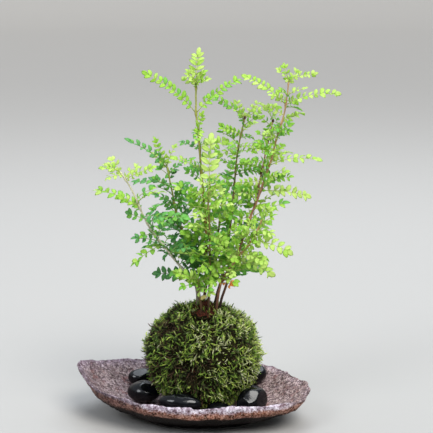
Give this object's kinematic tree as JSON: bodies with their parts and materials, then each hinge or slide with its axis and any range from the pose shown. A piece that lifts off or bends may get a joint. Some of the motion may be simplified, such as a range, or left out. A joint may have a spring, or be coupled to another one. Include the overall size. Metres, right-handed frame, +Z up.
{
  "type": "kokedama moss ball plant",
  "caption": "Moss-covered soil ball planted with a small shrub of pinnate leaves, standing among black pebbles in a shallow stoneware dish.",
  "frame": {"origin": "middle of the dish's foot, on the surface that the dish stands on", "axes": "+Z up along the plant, +X towards the dish's right tip, -Y towards the front that the picture shows"},
  "size_m": [0.2198, 0.14, 0.309],
  "materials": {
    "stoneware": "unglazed rough fired clay, pitted and speckled",
    "soil": "moist peaty soil",
    "moss": "shaggy living moss",
    "pebble": "polished river pebble",
    "foliage": "thin satin leaflets on woody stems"
  },
  "bodies": {
    "root": {"dish": "stoneware", "soil_ball": "soil", "moss_skin": "moss", "pebble_left": "pebble", "pebble_left_back": "pebble", "pebble_front_left": "pebble", "pebble_front": "pebble", "pebble_front_right": "pebble", "pebble_right": "pebble", "pebble_right_back": "pebble", "pebble_back_right": "pebble", "pebble_back": "pebble", "leafy_stem_main": "foliage", "leafy_stem_left": "foliage", "leafy_stem_left_back": "foliage", "leafy_stem_front": "foliage", "leafy_stem_middle": "foliage", "leafy_stem_right": "foliage", "leafy_stem_right_low": "foliage", "leafy_stem_back": "foliage", "leafy_stem_low": "foliage"}
  },
  "joints": []
}
